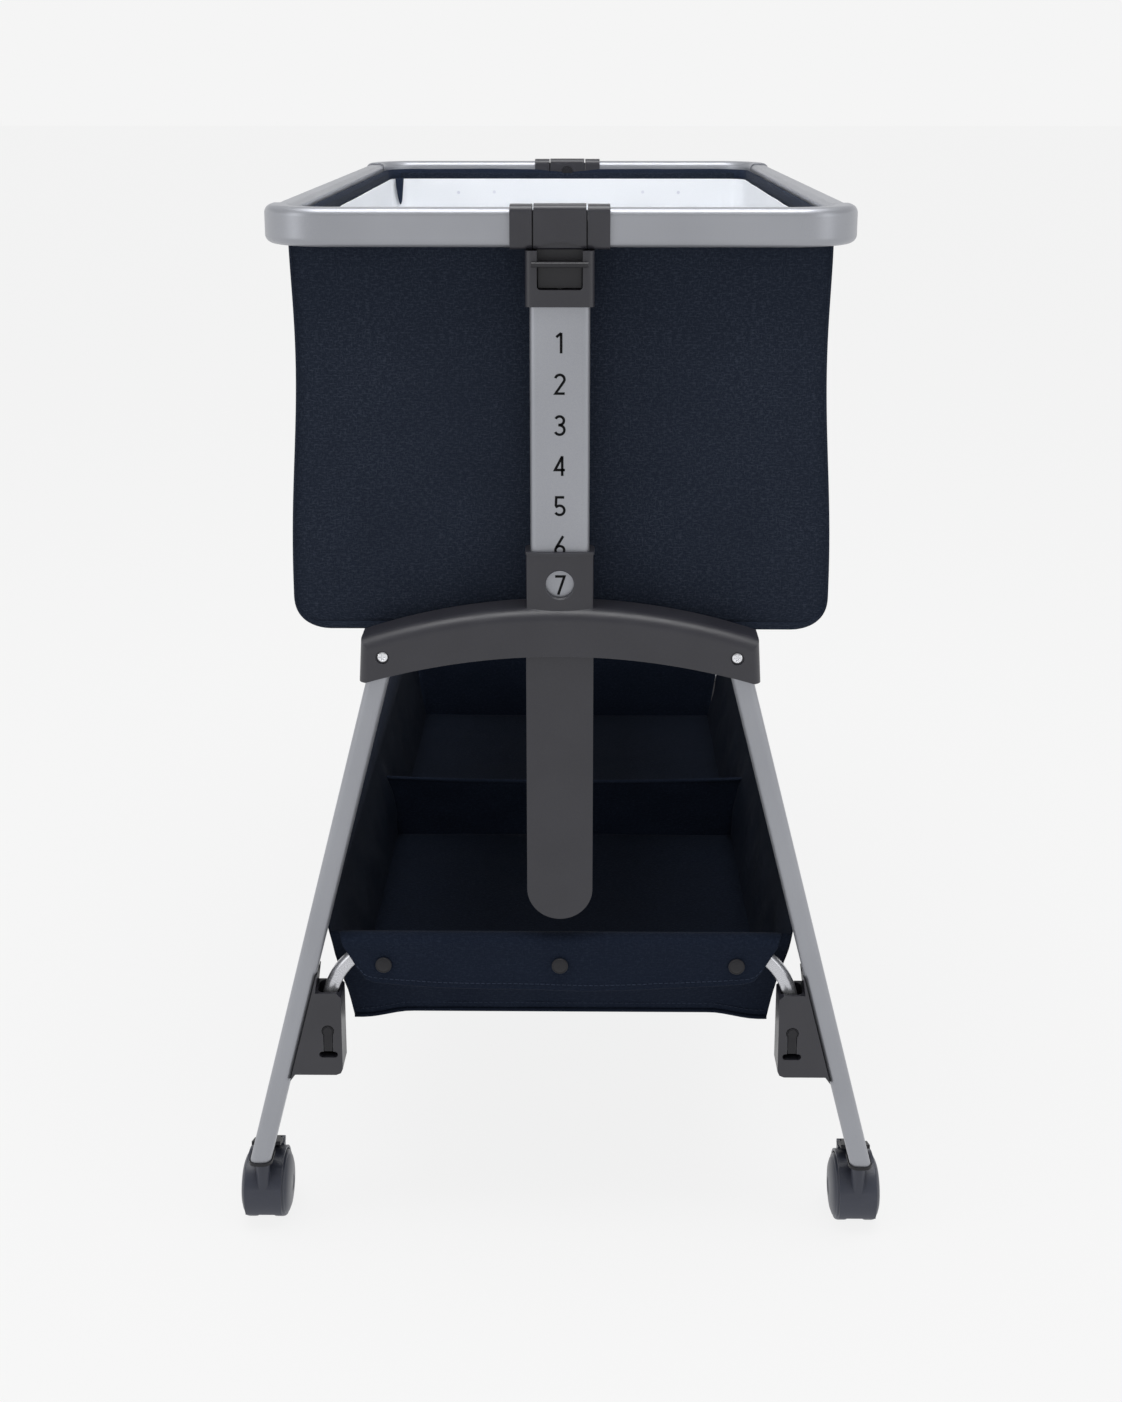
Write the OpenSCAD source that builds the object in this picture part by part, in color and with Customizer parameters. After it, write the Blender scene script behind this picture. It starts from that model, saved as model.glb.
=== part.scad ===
// Bassinet on a height-adjustable stand: a fabric crib body hung in a folding rim,
// carried by two numbered posts that slide in an A-frame stand on twin-wheel castors.
// Origin: centre of the footprint on the floor. X = width, Y = length (near end -Y), Z = up.

/* [Rim] */
// Outer width of the rim (X)
rim_w = 500; // [470:5:530]
// Outer length of the rim (Y)
rim_l = 870; // [820:5:900]
// Height of the rim's top above the floor in the highest position
rim_z = 945; // [940:1:950]
// Rim tube height
rail_h = 32; // [30:1:32]
// Rim tube depth
rail_d = 23; // [21:1:24]
// Outer radius of the rim's corners in plan
rim_r = 60; // [50:5:80]

/* [Height adjustment] */
// Number of height positions
positions = 7; // [5:1:7]
// Distance between two positions
pitch = 34.5; // [30:0.5:34.5]
// Post width
post_w = 50; // [46:1:50]
// Post depth
post_d = 18; // [16:1:18]

/* [Stand] */
// Half distance between the feet (X)
foot_x = 276.5; // [270:0.5:285]
// Y of the plane through posts, legs and cross tubes
end_y = 430; // [428:1:432]
// Leg width across
leg_w = 18.5; // [17:0.5:20]
// Leg depth (Y)
leg_d = 28; // [26:1:30]
// Radius of the arch's top edge
arch_r = 530; // [520:1:545]
// Height of the arch's top at its middle
arch_z = 609.5; // [607:0.5:611]

/* [Castors] */
// Wheel diameter
wheel_dia = 60; // [58:1:60]
// Distance from the swivel axis to the axle
trail = 25; // [24:1:26]

/* [Fabric] */
// Half width of the hanging bag
bag_x = 226; // [220:1:226]
// Half length of the hanging bag
bag_y = 405; // [400:1:405]
// Lowest point of the bag
bag_z = 580; // [577:1:583]
// Mattress thickness
mattress_t = 45; // [30:1:50]
// Height of the storage basket's floor
basket_z = 200; // [192:1:205]

/* [Hidden] */
$fn = 64;

silver = "#9b9da2";
plastic = "#3e3f43";
plastic_dark = "#2b2c30";
navy = "#1d2534";
travel = (positions - 1) * pitch;

// rim
rail_wall = 1.6;
rail_r = 7;
rail_zc = rim_z - rail_h / 2;
rail_yc = rim_l / 2 - rail_d / 2;
rail_xc = rim_w / 2 - rail_d / 2;
bend_r = rim_r - rail_d / 2;
end_stub = 10;
plug_len = 9.6;
socket_in = 22.8;
socket_out = 41;
socket_h = 36;
socket_z = rim_z - 33.5;
pivot_x = 33.5;
pivot_z = socket_z + 4.5;
pin_r = 2;
pin_reach = 10;
ear_t = 8;

// hub, latch body and post
hub_w = 43.2;
hub_d = 28;
hub_top = socket_z + 36.3;
arch_recess = 1.2;
latch_w = 57;
latch_d = 24;
latch_z0 = rim_z - 79.7;
latch_z1 = socket_z - 0.5;
post_top = latch_z0 + 7;
post_bottom = 557;
post_r = 6;
window_w = 37.6;
window_z0 = latch_z0 + 14;
button_travel = 3;

// arch, collar and housing
arch_front = end_y + 19;
arch_back = end_y - 17;
collar_w = 57.5;
collar_top = latch_z0 - travel - 0.5;
collar_front = end_y + 14;
gap = 0.3;
window_z = 630;
housing_bottom = 322;
housing_top = 566;
arch_end_x = 172.4;
arch_end_z = 543.5;
arch_end_tilt = 3.2;
arch_end_round = 9;
end_lead = 0.15;
collar_bow = 105;
lip = 0.7;
lip_h = 2.6;
arch_low = 567.8;
arch_low_r = 585;

// legs run straight from the foot to the bolt
bolt_x = 151.5;
bolt_z = 566.5;
foot_z = 76;
lean = atan((foot_x - bolt_x) / (bolt_z - foot_z));
leg_len = (bolt_z - foot_z) / cos(lean) + 10;

// cross tube and brackets
tube_r = 6.7;
tube_x = 209.5;
tube_z = 293;
tube_bend = 65;
tube_end_z = 189;
bracket_d = 29;
bracket_in = 197;
bracket_z0 = 167;
bracket_z1 = 248;
flange_z0 = 160;
flange_z1 = 265;
latch_cz = 211;

// basket
side_tube_x = 219;
side_tube_z = 300;
side_tube_r = 7;
basket_top = 299;
basket_bx = 195;
basket_by = 396;
basket_tx = 209.5;
flap_low = 254;
flap_side = 262;
snap_z = 275;
basket_ty = 422.5;
cloth = 2.5;

// castor
wheel_r = wheel_dia / 2;
hood_r = wheel_r + 3.6;
hood_in = wheel_r + 1.2;
hood_half = 17;
wheel_in = 6.2;
wheel_out = 23.5;
stem_r = 4;
axle_r = 3;
pedal_y = 24;
pedal_z = 30.5;
boss_top = foot_z - 3.4 - wheel_r;

// ---------- helpers ----------
module rrect(w, h, r) {
    square([w - 2 * r, h], center = true);
    square([w, h - 2 * r], center = true);
    for (x = [-1, 1], y = [-1, 1])
        translate([x * (w / 2 - r), y * (h / 2 - r)]) circle(r);
}
// mirror pieces drawn at the near end or on the left to the far end or to the right
module at_end(far) {
    if (far) mirror([0, 1, 0]) children();
    else children();
}
module at_side(right) {
    if (right) mirror([1, 0, 0]) children();
    else children();
}
// outline in X and Z, extruded along Y between two values
module slab_xz(y0, y1) {
    translate([0, y1, 0]) rotate([90, 0, 0]) linear_extrude(y1 - y0) children();
}
module box(a, b) {
    translate(a) cube(b - a);
}

// ---------- rim ----------
module rail_profile(grow = 0) {
    rrect(rail_d + 2 * grow, rail_h + 2 * grow, rail_r + grow);
}
module bar_x(x0, x1, grow) {
    translate([x0, -rail_yc, rail_zc]) rotate([90, 0, 90]) linear_extrude(x1 - x0) rail_profile(grow);
}
module bar_y(y0, y1, grow) {
    translate([-rail_xc, y1, rail_zc]) rotate([90, 0, 0]) linear_extrude(y1 - y0) rail_profile(grow);
}
module corner(grow) {
    translate([-rim_w / 2 + rim_r, -rim_l / 2 + rim_r, rail_zc])
        rotate([0, 0, 180]) rotate_extrude(angle = 90, $fn = 96)
            translate([bend_r, 0]) rail_profile(grow);
}
module rim_end_path(grow, extra) {
    bar_x(-rim_w / 2 + rim_r, -socket_out + extra, grow);
    corner(grow);
    bar_y(-rim_l / 2 + rim_r, -rim_l / 2 + rim_r + end_stub + extra, grow);
}
module rim_end() {
    color(silver) difference() {
        rim_end_path(0, 0);
        rim_end_path(-rail_wall, 1);
    }
}
module rim_side() {
    reach = rim_l / 2 - rim_r - end_stub + plug_len;
    color(silver) difference() {
        bar_y(-reach, reach, -rail_wall - 0.4);
        bar_y(-reach - 1, reach + 1, -2 * rail_wall - 0.4);
    }
}
module rim_socket() {
    slot = ear_t + 1;
    color(plastic) difference() {
        union() {
            translate([-socket_out, -rail_yc - 0.5, socket_z + socket_h / 2]) rotate([90, 0, 90])
                linear_extrude(socket_out - socket_in) rrect(27.5, socket_h, 6);
            bar_x(-socket_out - 18, -socket_out, -rail_wall - 0.1);
        }
        box([-pivot_x - 4.6, -rail_yc - slot / 2, socket_z - 1],
            [-socket_in + 1, -rail_yc + slot / 2, pivot_z + 4.6]);
        // blind hole of the hinge pin, open to the inside of the crib
        translate([-pivot_x, -rail_yc + 20, pivot_z]) rotate([90, 0, 0])
            cylinder(r = pin_r + 0.05, h = 20 + pin_reach + 0.4);
        translate([-socket_out - 19, -rail_yc, rail_zc]) rotate([90, 0, 90])
            linear_extrude(17) rrect(12, 20, 3);
    }
}

// ---------- hub, latch body, levers ----------
module hub() {
    yc = -rail_yc - 0.5;
    color(plastic) difference() {
        union() {
            translate([-hub_w / 2, yc, (latch_z1 + hub_top) / 2 + 0.3]) rotate([90, 0, 90])
                linear_extrude(hub_w) rrect(hub_d, hub_top - latch_z1 - 0.6, 5);
            for (s = [-1, 1]) {
                box([min(s * pivot_x, s * (hub_w / 2 - 1)), -rail_yc - ear_t / 2, pivot_z - 4],
                    [max(s * pivot_x, s * (hub_w / 2 - 1)), -rail_yc + ear_t / 2, pivot_z + 4]);
                translate([s * pivot_x, -rail_yc + ear_t / 2, pivot_z]) rotate([90, 0, 0])
                    cylinder(r = 4, h = ear_t);
                translate([s * pivot_x, -rail_yc + pin_reach, pivot_z]) rotate([90, 0, 0])
                    cylinder(r = pin_r, h = 2 * pin_reach);
                // fin that closes the gap above the ear
                box([min(s * (socket_in - 0.1), s * (hub_w / 2 - 1)), -rail_yc - ear_t / 2, pivot_z],
                    [max(s * (socket_in - 0.1), s * (hub_w / 2 - 1)), -rail_yc + ear_t / 2, hub_top - 5]);
            }
        }
        // pocket of the fold button, open to the inside of the crib
        slab_xz(-rail_yc + 6, -rail_yc + hub_d) translate([0, hub_top - 15.5]) button_outline(0.5);
        // arched lower edge of the front face
        slab_xz(yc - hub_d, yc - hub_d / 2 + arch_recess)
            translate([0, hub_top - 69]) circle(r = 39, $fn = 128);
    }
}
module button_outline(grow) {
    circle(r = 6.5 + grow);
    translate([-6.5 - grow, -8 - grow]) square([13 + 2 * grow, 8 + grow]);
}
module fold_button() {
    color(plastic_dark) slab_xz(-rail_yc + 6 + button_travel + 0.5, -rail_yc + hub_d / 2 + 2.6)
        translate([0, hub_top - 15.5]) button_outline(0);
}
module latch_body() {
    inner_w = post_w + 0.1;
    color(plastic) difference() {
        translate([0, -end_y, latch_z0]) linear_extrude(latch_z1 - latch_z0) rrect(latch_w, latch_d, 6);
        // seat of the post
        translate([0, -end_y, latch_z0 - 1]) linear_extrude(post_top - latch_z0 + 1)
            rrect(inner_w, post_d + 0.1, post_r);
        // finger recess
        slab_xz(-end_y - latch_d, -end_y + 4)
            translate([0, (window_z0 + latch_z1) / 2 + 1]) rrect(window_w, latch_z1 - window_z0 + 2, 3);
        // passage of the pull rod
        translate([0, -end_y, latch_z0 - 1]) cylinder(r = 3.6, h = 30);
    }
}
module release_lever() {
    bar_z = window_z0 + 21;
    color(plastic_dark) union() {
        box([-window_w / 2 + 1, -end_y - 6, window_z0 + 1.2], [window_w / 2 - 1, -end_y - 2, bar_z]);
        box([-window_w / 2 + 1, -end_y - latch_d / 2 - 2, bar_z - 1.8],
            [window_w / 2 - 1, -end_y - 2, bar_z + 1.8]);
        translate([-23.4, -end_y - latch_d / 2 - 2.7, bar_z]) rotate([0, 90, 0]) cylinder(r = 2.2, h = 46.8);
        // pull rod down the hollow post
        box([-3, -end_y - 5, window_z0 + 1.2], [3, -end_y + 3, window_z0 + 5]);
        translate([0, -end_y, post_bottom + 12]) cylinder(r = 3, h = window_z0 + 3 - post_bottom - 12);
    }
}
module post() {
    color(silver) translate([0, -end_y, post_bottom]) linear_extrude(post_top - post_bottom) difference() {
        rrect(post_w, post_d, post_r);
        rrect(post_w - 3.6, post_d - 3.6, post_r - 1.8);
    }
}

// ---------- arch with collar, and the housing under it ----------
module arch_outline() {
    difference() {
        translate([0, arch_z - arch_r]) circle(r = arch_r, $fn = 360);
        translate([0, arch_low - arch_low_r]) circle(r = arch_low_r, $fn = 360);
        translate([-arch_r, arch_end_z - 2 * arch_r]) square(2 * arch_r);
    }
}
// everything inwards of one end of the arch, with the end's front edge rounded
module arch_end_side() {
    depth = 2 * (arch_front - arch_back);
    translate([-arch_end_x, -arch_front - end_lead + depth / 2, arch_end_z]) rotate([0, arch_end_tilt, 0])
        translate([arch_r, 0, -20]) linear_extrude(120) rrect(2 * arch_r, depth, arch_end_round);
}
module arch_body() {
    round = 13;
    intersection() {
        slab_xz(-arch_front, -arch_back) arch_outline();
        arch_end_side();
        at_side(true) arch_end_side();
        // ring whose outer front edge is rounded
        translate([0, 0, arch_z - arch_r]) rotate([90, 0, 0]) rotate_extrude($fn = 360) {
            translate([arch_r - 100, arch_back]) square([100, arch_front - arch_back - round]);
            translate([arch_r - 100, arch_back]) square([100 - round, arch_front - arch_back]);
            translate([arch_r - round, arch_front - round]) circle(round);
        }
    }
}
module channel(z0, z1) {
    translate([0, -end_y, z0]) linear_extrude(z1 - z0) rrect(post_w + 2 * gap, post_d + 2 * gap, post_r + gap);
}
// a rounded block with a bowed front, between two heights
module collar(z0, z1, grow) {
    intersection() {
        translate([0, -(collar_front + arch_back + 2) / 2, z0]) linear_extrude(z1 - z0)
            rrect(collar_w + 2 * grow, collar_front - arch_back - 2 + 2 * grow, 7 + grow);
        translate([0, -collar_front + collar_bow, z0 - 1])
            cylinder(r = collar_bow + grow, h = z1 - z0 + 2, $fn = 360);
    }
}
module arch() {
    color(plastic) difference() {
        union() {
            arch_body();
            // collar round the post, with a lip round its top
            collar(arch_z - 40, collar_top, 0);
            collar(collar_top - lip_h, collar_top, lip);
        }
        channel(540, collar_top + 1);
        // round window for the number, with a bevelled edge
        translate([0, -end_y, window_z]) rotate([90, 0, 0]) cylinder(d = 24, h = 30);
        translate([0, -collar_front + 1.2, window_z]) rotate([90, 0, 0]) cylinder(d1 = 24, d2 = 27.4, h = 1.7);
        for (s = [false, true]) at_side(s) {
            leg_blank(0.15, leg_len);
            translate([-bolt_x, 0, bolt_z]) rotate([90, 0, 0]) cylinder(r = 3.05, h = 500);
            translate([-bolt_x, -arch_front + 2.2, bolt_z]) rotate([90, 0, 0]) cylinder(d = 12, h = 10);
        }
    }
}
module post_housing() {
    r = collar_w / 2;
    front = end_y + 13.5;
    back = end_y - 13.5;
    low = housing_bottom + r;
    color(plastic) difference() {
        intersection() {
            slab_xz(-front, -back) {
                translate([0, low]) circle(r);
                translate([-r, low]) square([2 * r, housing_top - low]);
            }
            // follows the arch's lower edge
            translate([0, 0, arch_low - arch_low_r]) rotate([90, 0, 0]) cylinder(r = arch_low_r, h = 600, $fn = 360);
        }
        channel(post_bottom - travel - 1, housing_top + 10);
    }
}
module arch_bolts() {
    color("#c9cbcf") for (far = [false, true], s = [false, true]) at_end(far) at_side(s)
        translate([-bolt_x, 0, bolt_z]) rotate([90, 0, 0]) {
            translate([0, 0, arch_back + 2]) cylinder(r = 3, h = arch_front - arch_back - 4.2);
            translate([0, 0, arch_front - 2.2]) intersection() {
                cylinder(d = 9.6, h = 3);
                translate([0, 0, -4.6]) sphere(r = 6.9);
            }
        }
}

// ---------- legs and feet ----------
module leg_profile(grow) {
    rrect(leg_w + 2 * grow, leg_d + 2 * grow, 6.5 + grow);
}
module leg_blank(grow, len) {
    translate([-foot_x, -end_y, foot_z]) rotate([0, lean, 0]) translate([0, 0, -20])
        linear_extrude(len + 20) leg_profile(grow);
}
module leg() {
    color(silver) difference() {
        leg_blank(0, leg_len);
        leg_blank(-1.6, leg_len + 1);
        translate([-foot_x - 50, -end_y - 50, 0]) cube([100, 100, foot_z]);
        translate([-bolt_x, 0, bolt_z]) rotate([90, 0, 0]) cylinder(r = 3.05, h = 500);
    }
}
module foot_plug() {
    difference() {
        union() {
            translate([-foot_x, -end_y, foot_z - 3]) linear_extrude(3) rrect(leg_w + 3, leg_d + 3, 8);
            intersection() {
                leg_blank(-1.7, 26);
                translate([-foot_x - 50, -end_y - 50, foot_z - 1]) cube([100, 100, 60]);
            }
        }
        translate([-foot_x, -end_y, foot_z - 10]) cylinder(r = stem_r + 0.06, h = 20);
    }
}
module foot_plugs() {
    color(plastic_dark) for (far = [false, true], s = [false, true]) at_end(far) at_side(s) foot_plug();
}

// ---------- brackets, latches and tubes ----------
// x of the leg's inner face at height z, plus a hair
function leg_in(z) = -foot_x + (z - foot_z) * tan(lean) + leg_w / 2 / cos(lean) + 0.02;
module bracket_outline() {
    r = 6;
    polygon([
        [leg_in(flange_z0), flange_z0], [leg_in(flange_z0) + 5, bracket_z0], [-bracket_in - r, bracket_z0],
        [-bracket_in - 1.8, bracket_z0 + 1.8], [-bracket_in, bracket_z0 + r],
        [-bracket_in, bracket_z1 - 4], [-bracket_in - 4, bracket_z1],
        [leg_in(bracket_z1) + 3, bracket_z1], [leg_in(flange_z1) + 0.8, flange_z1],
        [leg_in(flange_z1), flange_z1]
    ]);
}
module keyhole(grow) {
    translate([-tube_x, latch_cz]) circle(r = 5 + grow);
    translate([-tube_x - 3.7 - grow, latch_cz - 20 - grow]) square([7.4 + 2 * grow, 20 + grow]);
}
module tube_bracket() {
    front = -end_y - bracket_d / 2;
    color(plastic) difference() {
        slab_xz(front, front + bracket_d) bracket_outline();
        // wide mouth above a close bore
        translate([-tube_x + 0.6, -end_y, latch_cz + 12]) linear_extrude(50) rrect(19.5, 23, 6);
        translate([-tube_x, -end_y, tube_end_z - 7]) cylinder(r = tube_r + 0.05, h = 60);
        // keyhole of the latch tongue and the slot below it
        slab_xz(front - 1, -end_y - 1) keyhole(0.6);
        slab_xz(front - 1, -end_y - 1) translate([-tube_x, latch_cz - 23.5]) rrect(17, 6, 2.9);
        // relief between the tongue and the tube
        slab_xz(front + 3, -end_y) translate([-tube_x, latch_cz - 8]) rrect(12.5, 28, 2);
    }
}
module tube_latch() {
    front = -end_y - bracket_d / 2;
    color(plastic_dark) union() {
        slab_xz(front, front + 3) keyhole(0);
        translate([-tube_x, front + 1, latch_cz]) rotate([90, 0, 0]) cylinder(r1 = 4.6, r2 = 3.9, h = 2);
    }
}
module cross_path(r) {
    for (s = [false, true]) at_side(s) {
        translate([-tube_x, -end_y, tube_end_z]) cylinder(r = r, h = tube_z - tube_bend - tube_end_z);
        translate([-tube_x + tube_bend, -end_y, tube_z - tube_bend]) rotate([90, 0, 0])
            rotate([0, 0, 90]) rotate_extrude(angle = 90) translate([tube_bend, 0]) circle(r);
    }
    translate([-tube_x + tube_bend, -end_y, tube_z]) rotate([0, 90, 0])
        cylinder(r = r, h = 2 * (tube_x - tube_bend));
}
module cross_tube() {
    color(silver) difference() {
        cross_path(tube_r);
        cross_path(tube_r - 1.4);
    }
}
module side_tube() {
    half = end_y - leg_d / 2;
    color(silver) translate([-side_tube_x, half, side_tube_z]) rotate([90, 0, 0]) difference() {
        cylinder(r = side_tube_r, h = 2 * half);
        translate([0, 0, -1]) cylinder(r = side_tube_r - 1.4, h = 2 * half + 2);
    }
}

// ---------- basket ----------
module frustum(bx, by, z0, tx, ty, z1) {
    hull() {
        translate([-bx, -by, z0]) cube([2 * bx, 2 * by, 0.1]);
        translate([-tx, -ty, z1 - 0.1]) cube([2 * tx, 2 * ty, 0.1]);
    }
}
module basket() {
    color(navy) difference() {
        frustum(basket_bx, basket_by, basket_z, basket_tx, basket_ty, basket_top);
        frustum(basket_bx - cloth, basket_by - cloth, basket_z + cloth,
            basket_tx - cloth, basket_ty - cloth, basket_top + 0.2);
    }
}
module basket_divider() {
    low = basket_z + cloth + 0.6;
    high = 276;
    slope = (basket_tx - basket_bx) / (basket_top - basket_z);
    low_x = basket_bx - cloth + (low - basket_z) * slope - 2;
    high_x = basket_bx - cloth + (high - basket_z) * slope - 2;
    color(navy) slab_xz(-1.25, 1.25)
        polygon([[-low_x, low], [low_x, low], [high_x, high], [-high_x, high]]);
}
module basket_flaps() {
    top = tube_z + tube_r + 0.4;
    front = end_y + tube_r + 2;
    color(navy) for (far = [false, true]) at_end(far) {
        box([-165, -front - cloth, top], [165, -basket_ty, top + cloth]);
        slab_xz(-front - cloth, -front) polygon([
            [-197, top + cloth], [197, top + cloth], [170, flap_side], [150, flap_side],
            [0, flap_low], [-150, flap_side], [-170, flap_side]
        ]);
    }
}
module basket_snaps() {
    face = end_y + tube_r + 2 + cloth;
    color(plastic_dark) for (far = [false, true], x = [-158, 0, 158]) at_end(far)
        translate([x, -face, snap_z]) rotate([90, 0, 0]) cylinder(r = x == 0 ? 7 : 6.3, h = 1.8);
}

// ---------- crib body ----------
module ring(x, y, t, z0, z1) {
    translate([0, 0, z0]) linear_extrude(z1 - z0) difference() {
        rrect(2 * x, 2 * y, 30);
        rrect(2 * (x - t), 2 * (y - t), 30 - t);
    }
}
tub_top = 685;
tub_wall = 3;
module bag_walls() {
    color(navy) ring(bag_x - 1, bag_y - 0.6, tub_wall, tub_top + 0.2, rim_z - 11);
}
module bag_bottom() {
    color(navy) {
        ring(bag_x + 2, bag_y, tub_wall, bag_z, tub_top);
        translate([0, 0, bag_z]) linear_extrude(tub_wall)
            rrect(2 * (bag_x + 2 - tub_wall), 2 * (bag_y - tub_wall), 27);
    }
}
board_t = 6;
module base_board() {
    color("#7d6a52") translate([0, 0, bag_z + tub_wall + 0.2]) linear_extrude(board_t)
        rrect(2 * (bag_x - 3), 2 * (bag_y - 5), 24);
}
module mattress() {
    color("#eef0f4") translate([0, 0, bag_z + tub_wall + board_t + 0.4]) linear_extrude(mattress_t)
        rrect(2 * (bag_x - 6), 2 * (bag_y - 8), 24);
}

// ---------- castors ----------
module castor_frame() {
    translate([-foot_x, -end_y + trail, wheel_r]) children();
}
// body of the castor: axle, and one shell of hood, web, boss and stem
module castor() {
    color(plastic) castor_frame() {
        translate([-18, 0, 0]) rotate([0, 90, 0]) cylinder(r = axle_r, h = 36);
        castor_shell();
    }
}
module castor_shell() {
    difference() {
        union() {
            // hood: an arc over the treads, from low in front to the rear
            rotate([0, 90, 0]) rotate([0, 0, 105]) rotate_extrude(angle = 190)
                translate([hood_in, -hood_half]) square([hood_r - hood_in, 2 * hood_half]);
            // web between the wheels
            rotate([0, 90, 0]) translate([0, 0, -5.4]) rotate([0, 0, 90])
                rotate_extrude(angle = 180) square([hood_in + 1, 10.8]);
            rotate([0, 90, 0]) translate([0, 0, -5.4]) cylinder(r = 14, h = 10.8);
            // boss and stem of the swivel
            translate([0, -trail, 8]) cylinder(r = 6.5, h = boss_top - 8);
            translate([0, -trail, 8]) cylinder(r = stem_r, h = boss_top + 4);
            // lugs and pin of the pedal
            for (s = [-1, 1]) translate([s * 11.5 - 1.5, pedal_y, pedal_z]) rotate([0, 90, 0])
                cylinder(r = 3.5, h = 3);
            for (s = [-1, 1])
                box([s * 11.5 - 1.5, pedal_y - 7, pedal_z - 8], [s * 11.5 + 1.5, pedal_y + 1.5, pedal_z]);
            translate([-11, pedal_y, pedal_z]) rotate([0, 90, 0]) cylinder(r = 1.5, h = 22);
        }
        // the boss stays clear of the wheels' treads
        for (s = [-1, 1]) translate([s * (wheel_in + 10) - 10.2, 0, 0]) rotate([0, 90, 0])
            cylinder(r = wheel_r + 0.7, h = 20.4);
    }
}
module wheel_pair() {
    color(plastic_dark) castor_frame() difference() {
        union() {
            for (s = [-1, 1]) rotate([0, 90, 0]) mirror([0, 0, s < 0 ? 1 : 0]) {
                translate([0, 0, wheel_in]) cylinder(r = wheel_r - 0.8, h = 2);
                translate([0, 0, wheel_in + 1]) cylinder(r = wheel_r, h = 10);
                translate([0, 0, wheel_in + 11]) cylinder(r1 = wheel_r, r2 = wheel_r - 2, h = 2.5);
                translate([0, 0, wheel_in + 13.5])
                    cylinder(r1 = wheel_r - 2, r2 = wheel_r - 8, h = wheel_out - wheel_in - 13.5);
            }
        }
        translate([-20, 0, 0]) rotate([0, 90, 0]) cylinder(r = axle_r + 0.05, h = 40);
    }
}
module brake() {
    color(plastic_dark) castor_frame() translate([0, pedal_y, pedal_z]) difference() {
        union() {
            translate([-9.6, 0, 0]) rotate([0, 90, 0]) cylinder(r = 3.5, h = 19.2);
            rotate([-21, 0, 0]) box([-9.6, -30, 1], [9.6, 0, 3.5]);
            rotate([-21, 0, 0]) box([-13.5, -32, 1], [13.5, -14, 4.4]);
        }
        translate([-15, 0, 0]) rotate([0, 90, 0]) cylinder(r = 1.56, h = 30);
    }
}

// ---------- named pieces ----------
module arch_near() { at_end(false) arch(); }
module arch_far() { at_end(true) arch(); }
module post_housing_near() { at_end(false) post_housing(); }
module post_housing_far() { at_end(true) post_housing(); }
module leg_near_left() { at_end(false) at_side(false) leg(); }
module leg_near_right() { at_end(false) at_side(true) leg(); }
module leg_far_left() { at_end(true) at_side(false) leg(); }
module leg_far_right() { at_end(true) at_side(true) leg(); }
module tube_bracket_near_left() { at_end(false) at_side(false) tube_bracket(); }
module tube_bracket_near_right() { at_end(false) at_side(true) tube_bracket(); }
module tube_bracket_far_left() { at_end(true) at_side(false) tube_bracket(); }
module tube_bracket_far_right() { at_end(true) at_side(true) tube_bracket(); }
module tube_latch_near_left() { at_end(false) at_side(false) tube_latch(); }
module tube_latch_near_right() { at_end(false) at_side(true) tube_latch(); }
module tube_latch_far_left() { at_end(true) at_side(false) tube_latch(); }
module tube_latch_far_right() { at_end(true) at_side(true) tube_latch(); }
module cross_tube_near() { at_end(false) cross_tube(); }
module cross_tube_far() { at_end(true) cross_tube(); }
module side_tube_left() { at_side(false) side_tube(); }
module side_tube_right() { at_side(true) side_tube(); }
module post_near() { at_end(false) post(); }
module post_far() { at_end(true) post(); }
module latch_body_near() { at_end(false) latch_body(); }
module latch_body_far() { at_end(true) latch_body(); }
module hub_near() { at_end(false) hub(); }
module hub_far() { at_end(true) hub(); }
module release_lever_near() { at_end(false) release_lever(); }
module release_lever_far() { at_end(true) release_lever(); }
module fold_button_near() { at_end(false) fold_button(); }
module fold_button_far() { at_end(true) fold_button(); }
module rim_side_left() { at_side(false) rim_side(); }
module rim_side_right() { at_side(true) rim_side(); }
module rim_end_near_left() { at_end(false) at_side(false) rim_end(); }
module rim_end_near_right() { at_end(false) at_side(true) rim_end(); }
module rim_end_far_left() { at_end(true) at_side(false) rim_end(); }
module rim_end_far_right() { at_end(true) at_side(true) rim_end(); }
module rim_sockets_left() { for (far = [false, true]) at_end(far) at_side(false) rim_socket(); }
module rim_sockets_right() { for (far = [false, true]) at_end(far) at_side(true) rim_socket(); }
module castor_near_left() { at_end(false) at_side(false) castor(); }
module castor_near_right() { at_end(false) at_side(true) castor(); }
module castor_far_left() { at_end(true) at_side(false) castor(); }
module castor_far_right() { at_end(true) at_side(true) castor(); }
module wheels_near_left() { at_end(false) at_side(false) wheel_pair(); }
module wheels_near_right() { at_end(false) at_side(true) wheel_pair(); }
module wheels_far_left() { at_end(true) at_side(false) wheel_pair(); }
module wheels_far_right() { at_end(true) at_side(true) wheel_pair(); }
module brake_near_left() { at_end(false) at_side(false) brake(); }
module brake_near_right() { at_end(false) at_side(true) brake(); }
module brake_far_left() { at_end(true) at_side(false) brake(); }
module brake_far_right() { at_end(true) at_side(true) brake(); }

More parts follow.
